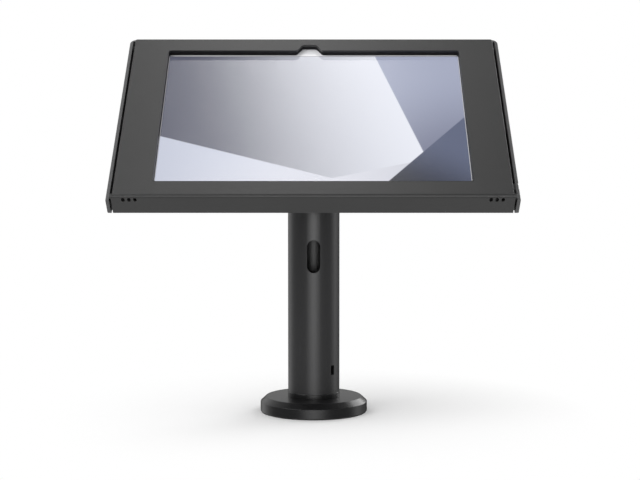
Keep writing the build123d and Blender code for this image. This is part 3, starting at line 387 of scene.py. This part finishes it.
def fine_copy(node, name, material, edge=0.00025, socket=None, cuts=(), play=0.0):
    # the piece's own mesh: merged, its flat faces joined and its sharp edges broken; cuts are planes that
    # part its faces for a second material, and play is the hair of room left all round a piece that rubs
    merge_distance = 0.000002
    flat_angle = math.radians(0.5)
    corner_angle = math.radians(32.0)
    body = nodes[node]["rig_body"]
    bpy.ops.object.select_all(action="DESELECT")
    piece = nodes[node].copy()
    piece.data = nodes[node].data.copy()
    piece.name = name
    piece.parent = None
    for key in list(piece.keys()):
        del piece[key]
    bpy.context.scene.collection.objects.link(piece)
    piece.select_set(True)
    bpy.context.view_layer.objects.active = piece
    bpy.ops.object.mode_set(mode="EDIT")
    bpy.ops.mesh.select_all(action="SELECT")
    bpy.ops.mesh.remove_doubles(threshold=merge_distance)
    bpy.ops.mesh.customdata_custom_splitnormals_clear()
    bpy.ops.mesh.dissolve_limited(angle_limit=flat_angle)
    for place, facing in cuts:
        bpy.ops.mesh.select_all(action="SELECT")
        bpy.ops.mesh.bisect(plane_co=place, plane_no=facing)
    bpy.ops.object.mode_set(mode="OBJECT")
    if play:
        shrunk = piece.modifiers.new("play", "DISPLACE")
        shrunk.direction = "NORMAL"
        shrunk.mid_level = 0.0
        shrunk.strength = -play
        bpy.ops.object.modifier_apply(modifier=shrunk.name)
    bevel = piece.modifiers.new("broken edges", "BEVEL")
    bevel.width = edge
    bevel.segments = 2
    bevel.limit_method = "ANGLE"
    bevel.angle_limit = corner_angle
    bevel.harden_normals = False
    bpy.ops.object.modifier_apply(modifier=bevel.name)
    if socket:
        sink_sockets(piece, **socket)
    bpy.ops.object.shade_smooth_by_angle(angle=corner_angle)
    weighted = piece.modifiers.new("even faces", "WEIGHTED_NORMAL")
    weighted.keep_sharp = True
    weighted.weight = 100
    bpy.ops.object.modifier_apply(modifier=weighted.name)
    piece.data.materials.clear()
    piece.data.materials.append(material)
    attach(piece, body)
    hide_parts(node)
    return piece


base_black = powder_coat(
    "base_black", (0.0065, 0.0065, 0.007), bare_steel, roughness=0.23, grain=0.5, dust=0.003, wear=0.25
)
fine_copy("base_disc", "turned_base", base_black)
fine_copy("base_collar", "neck_ring", base_black)


# Tube: drawn steel tube, coated black and welded to the neck ring. The cable slot in front and the small
# security slot low on the right are cut through its wall, and a turned plug closes its top.
tube_black = powder_coat(
    "tube_black", (0.028, 0.028, 0.029), bare_steel, roughness=0.32, grain=0.6, dust=0.01, wear=0.2
)
fine_copy("pole", "tube", tube_black)
fine_copy("pole_plug", "tube_plug", tube_black)


# Head: cast steel yoke and knuckle in the same black coat, turning on plastic washers and held by
# zinc-plated bolts, nuts and spring washers.
def bright_steel(name, color, roughness, lay_scale):
    shade = 0.8
    material, tree, shader = new_material(name)
    shader.inputs["Metallic"].default_value = 1.0
    scratches = value_noise(tree, lay_scale, detail=6.0, roughness=0.7)
    patches = value_noise(tree, scale=60.0, detail=2.0)
    dark = tuple(channel * shade for channel in color)
    sheen = ranged(tree, scratches, roughness - 0.08, roughness + 0.1, from_low=0.3, from_high=0.7)
    join(tree, blended(tree, patches, dark, color), shader.inputs["Base Color"])
    join(tree, sheen, shader.inputs["Roughness"])
    join(tree, bumped(tree, scratches, strength=0.15, distance=0.00005), shader.inputs["Normal"])
    return material


def moulded_plastic(name, color, roughness, grain):
    tint = 1.25
    material, tree, shader = new_material(name)
    speckle = value_noise(tree, scale=1500.0, detail=2.0)
    tone = value_noise(tree, scale=12.0, detail=2.0)
    light = tuple(min(1.0, channel * tint) for channel in color)
    join(tree, blended(tree, tone, color, light), shader.inputs["Base Color"])
    join(tree, ranged(tree, speckle, roughness - 0.06, roughness + 0.06), shader.inputs["Roughness"])
    join(tree, bumped(tree, speckle, grain, distance=0.00005), shader.inputs["Normal"])
    return material


zinc = bright_steel("zinc_plate", (0.62, 0.63, 0.65), roughness=0.3, lay_scale=500.0)
black_oxide = bright_steel("black_oxide", (0.05, 0.05, 0.052), roughness=0.35, lay_scale=500.0)
slip_plastic = moulded_plastic("slip_plastic", (0.68, 0.67, 0.63), roughness=0.4, grain=0.1)
plated = [
    "swivel_spindle", "swivel_nut", "spring_washers", "swivel_stop",
    "tilt_axle", "tilt_nut", "turn_spindle", "turn_stop",
]
fine_copy("head_yoke", "yoke", tube_black)
fine_copy("tilt_knuckle", "knuckle", tube_black)
for node in plated:
    fine_copy(node, node + "_plated", zinc)
for node in ("swivel_washer", "turn_washer"):
    fine_copy(node, node + "_plastic", slip_plastic)
fine_copy("friction_discs", "friction_discs_plastic", slip_plastic, play=0.00002)


# Mounting plate: a square steel plate, laser-cut with its spindle bore and screw holes and coated black.
# Four pan-head socket screws of blackened steel hold the tray to it.
screen_out = Vector((0.0, -math.sqrt(0.5), math.sqrt(0.5)))
plate_socket = {"facing": -screen_out, "radius": 0.0016, "depth": 0.0014}
plate_black = powder_coat(
    "plate_black", (0.02, 0.02, 0.021), bare_steel, roughness=0.35, grain=0.8, dust=0.03, wear=0.3
)
fine_copy("mounting_plate", "back_plate", plate_black)
fine_copy("plate_screws", "back_screws", black_oxide, socket=plate_socket)


# Rear tray: 2.5 mm aluminium sheet folded up on all four sides, coated dark grey. In it sit the moulded
# corner blocks and plug guide, the foam strips, and the black inner frame that is screwed over the tablet.
frame_socket = {"facing": screen_out, "radius": 0.0009, "depth": 0.0008}
tray_grey = powder_coat(
    "tray_grey", (0.075, 0.075, 0.076), (0.4, 0.4, 0.41), roughness=0.42, grain=0.9, dust=0.03, wear=0.25
)
fine_copy("rear_tray", "folded_tray", tray_grey)
fine_copy("hinge_pins", "pressed_hinge_pins", black_oxide)
foam = rubber("pad_foam", dark=(0.02, 0.02, 0.02), light=(0.05, 0.05, 0.05), speckle_scale=500.0)
repaint("rear_pads", foam)
black_plastic = moulded_plastic("black_plastic", (0.016, 0.016, 0.017), roughness=0.45, grain=0.3)
for node in ("corner_blocks", "plug_guide"):
    fine_copy(node, node + "_moulded", black_plastic)
frame_black = moulded_plastic("frame_black", (0.007, 0.007, 0.008), roughness=0.6, grain=0.4)
frame_black.node_tree.nodes["Principled BSDF"].inputs["Specular IOR Level"].default_value = 0.2
fine_copy("tablet_frame", "inner_frame", frame_black)
fine_copy("frame_screws", "frame_screws_black", black_oxide, socket=frame_socket)
fine_copy("guide_rivet", "guide_rivet_black", black_oxide)


# Front cover: 2 mm aluminium sheet, cut and folded in one piece and coated dark grey. The cut edge round
# the window is painted near black as painted shade of the window's recess.
display_low, display_high = (Vector(corner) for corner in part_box("tablet_display"))
display_centre = (display_low + display_high) / 2
across_slope = Vector((1.0, 0.0, 0.0))
up_slope = Vector((0.0, math.sqrt(0.5), math.sqrt(0.5)))
display_half_width = (display_high.x - display_low.x) / 2
display_half_height = (display_high - display_low).dot(up_slope) / 2
shade_side_room = 0.0008
shade_end_room = 0.0017


def share_along(tree, direction, half_size):
    where = tree.nodes.new("ShaderNodeTexCoord")
    apart = tree.nodes.new("ShaderNodeVectorMath")
    apart.operation = "SUBTRACT"
    apart.inputs[1].default_value = display_centre
    join(tree, where.outputs["Object"], apart.inputs[0])
    along = tree.nodes.new("ShaderNodeVectorMath")
    along.operation = "DOT_PRODUCT"
    along.inputs[1].default_value = direction
    join(tree, apart.outputs["Vector"], along.inputs[0])
    return ranged(tree, along.outputs["Value"], 0.0, 1.0, -half_size, half_size)


def over_display(tree, side_room, end_room):
    # one over the display grown by the rooms at its sides and ends, nought beyond
    line = 0.001
    inside = None
    for direction, half_size in (
        (across_slope, display_half_width + side_room),
        (up_slope, display_half_height + end_room),
    ):
        share = share_along(tree, direction, half_size)
        low_edge = ranged(tree, share, 0.0, 1.0, 0.0, line)
        high_edge = ranged(tree, share, 0.0, 1.0, 1.0, 1.0 - line)
        for edge in (low_edge, high_edge):
            inside = edge if inside is None else combined(tree, "MULTIPLY", inside, edge)
    return inside


cover_grey = powder_coat(
    "cover_grey", (0.028, 0.028, 0.028), (0.42, 0.42, 0.43), roughness=0.32, grain=0.9, dust=0.01, wear=0.25
)
tree = cover_grey.node_tree
shader = tree.nodes["Principled BSDF"]
coated = shader.inputs["Base Color"].links[0].from_socket
# painted shade: the cover's faces over the display, the window's cut edge, are coloured near black
cut = tree.nodes.new("ShaderNodeMix")
cut.data_type = "RGBA"
cut.inputs["B"].default_value = (0.004, 0.004, 0.004, 1.0)
join(tree, over_display(tree, shade_side_room, shade_end_room), cut.inputs["Factor"])
join(tree, coated, cut.inputs["A"])
join(tree, cut.outputs["Result"], shader.inputs["Base Color"])
fine_copy("front_cover", "folded_cover", cover_grey)
fine_copy("lock_catch", "welded_catch", cover_grey)
fine_copy("catch_screws", "catch_screws_black", black_oxide)


# Lock: a blackened barrel held in the right-hand wall by its nut. The plated core turns in it, and a
# zinc-plated screw fixes the polished cam that holds the cover's catch.
cam_socket = {"facing": Vector((-1.0, 0.0, 0.0)), "radius": 0.0012, "depth": 0.0008}
polished = bright_steel("lock_chrome", (0.6, 0.6, 0.62), roughness=0.16, lay_scale=300.0)
for node in ("lock_barrel", "lock_nut"):
    fine_copy(node, node + "_black", black_oxide)
for node in ("lock_core", "lock_cam"):
    fine_copy(node, node + "_polished", polished)
fine_copy("cam_screw", "cam_screw_plated", zinc, socket=cam_socket)


# Tablet: a milled and blasted aluminium shell with its two keys. Inside lie the wrapped battery, the board
# and the camera, and the lit display is glued behind the glass.
shell_metal = bright_steel("shell_metal", (0.5, 0.5, 0.52), roughness=0.4, lay_scale=1500.0)
for node in ("tablet_shell", "power_key", "volume_key"):
    fine_copy(node, node + "_blasted", shell_metal)
battery_film = moulded_plastic("battery_wrap", (0.05, 0.05, 0.055), roughness=0.4, grain=0.1)
repaint("tablet_battery", battery_film)
board_resin = moulded_plastic("board_resin", (0.01, 0.08, 0.035), roughness=0.4, grain=0.2)
repaint("tablet_board", board_resin)
lens = moulded_plastic("camera_lens", (0.01, 0.01, 0.014), roughness=0.1, grain=0.0)
repaint("tablet_camera", lens)


# Screen: one sheet of glass, clear over the display and painted pale round it, glued into the shell. The
# display shows a generic picture of softly folded planes, from lilac grey through white to slate, whose white
# band up to the sharp edge near the right is partly the picture and partly a painted reflection of glare on
# the glass.
def beyond_line(tree, across, up, across_share, up_share, start, soft):
    # nought before a straight line over the picture, one past it
    lean = tree.nodes.new("ShaderNodeMath")
    lean.operation = "MULTIPLY"
    lean.inputs[1].default_value = up_share
    join(tree, up, lean.inputs[0])
    total = tree.nodes.new("ShaderNodeMath")
    total.operation = "MULTIPLY_ADD"
    total.inputs[1].default_value = across_share
    join(tree, across, total.inputs[0])
    join(tree, lean.outputs[0], total.inputs[2])
    step = tree.nodes.new("ShaderNodeMapRange")
    step.interpolation_type = "SMOOTHSTEP"
    step.inputs["From Min"].default_value = start
    step.inputs["From Max"].default_value = start + soft
    join(tree, total.outputs[0], step.inputs["Value"])
    return step.outputs["Result"]


def laid_over(tree, mask, under, over):
    mix = tree.nodes.new("ShaderNodeMix")
    mix.data_type = "RGBA"
    join(tree, mask, mix.inputs["Factor"])
    join(tree, under, mix.inputs["A"])
    join(tree, over, mix.inputs["B"])
    return mix.outputs["Result"]


# each sheet: the line its colour changes over (share across, share up, start, softness) and its two colours
sheets = {
    # the first sheet whitens towards the right: partly the picture's own colour, partly painted glare on the
    # glass
    "first": ((1.0, 0.12, 0.14, 0.87), (0.115, 0.12, 0.165), (0.9, 0.92, 1.0)),
    "pale": ((1.0, -0.6, -0.1, 0.7), (0.58, 0.61, 0.72), (0.68, 0.69, 0.76)),
    "right": ((0.3, -1.0, -0.6, 0.9), (0.4, 0.43, 0.56), (0.17, 0.18, 0.26)),
    "slate": ((1.0, 1.0, 0.75, 0.5), (0.03, 0.032, 0.045), (0.13, 0.15, 0.23)),
}
# each fold: the line (share across, share up, start) past which a sheet lies over what came before it
folds = [
    ((-0.55, -1.0, -0.36), "pale"),
    ((0.45, -1.0, 0.2), "pale"),
    # this fold's sharp edge is the edge of the painted glare
    ((1.0, 0.187, 0.897), "right"),
    ((1.0, -0.55, 0.72), "slate"),
]
fold_softness = 0.006
picture, tree, shader = new_material("display_picture")
across = share_along(tree, across_slope, display_half_width)
up = share_along(tree, up_slope, display_half_height)
tinted = {
    name: blended(tree, beyond_line(tree, across, up, *line), first, last)
    for name, (line, first, last) in sheets.items()
}
shown = tinted["first"]
for line, name in folds:
    shown = laid_over(tree, beyond_line(tree, across, up, *line, fold_softness), shown, tinted[name])
shader.inputs["Base Color"].default_value = (0.0, 0.0, 0.0, 1.0)
shader.inputs["Specular IOR Level"].default_value = 0.0
join(tree, shown, shader.inputs["Emission Color"])
shader.inputs["Emission Strength"].default_value = 1.0
repaint("tablet_display", picture)

glass, tree, shader = new_material("screen_glass")
shader.inputs["Base Color"].default_value = (1.0, 1.0, 1.0, 1.0)
shader.inputs["Roughness"].default_value = 0.03
shader.inputs["Transmission Weight"].default_value = 1.0
border, tree, shader = new_material("painted_border")
shader.inputs["Base Color"].default_value = (0.78, 0.78, 0.8, 1.0)
shader.inputs["Roughness"].default_value = 0.03
display_edges = [
    (display_centre + direction * half_size * sign, direction)
    for direction, half_size in ((across_slope, display_half_width), (up_slope, display_half_height))
    for sign in (-1.0, 1.0)
]
screen = fine_copy(
    "tablet_glass", "screen_and_border", glass, edge=0.0001, cuts=display_edges
)
screen.data.materials.append(border)
# faces outside the display's edges take the border's paint
for face in screen.data.polygons:
    apart = face.center - display_centre
    if abs(apart.x) > display_half_width or abs(apart.dot(up_slope)) > display_half_height:
        face.material_index = 1
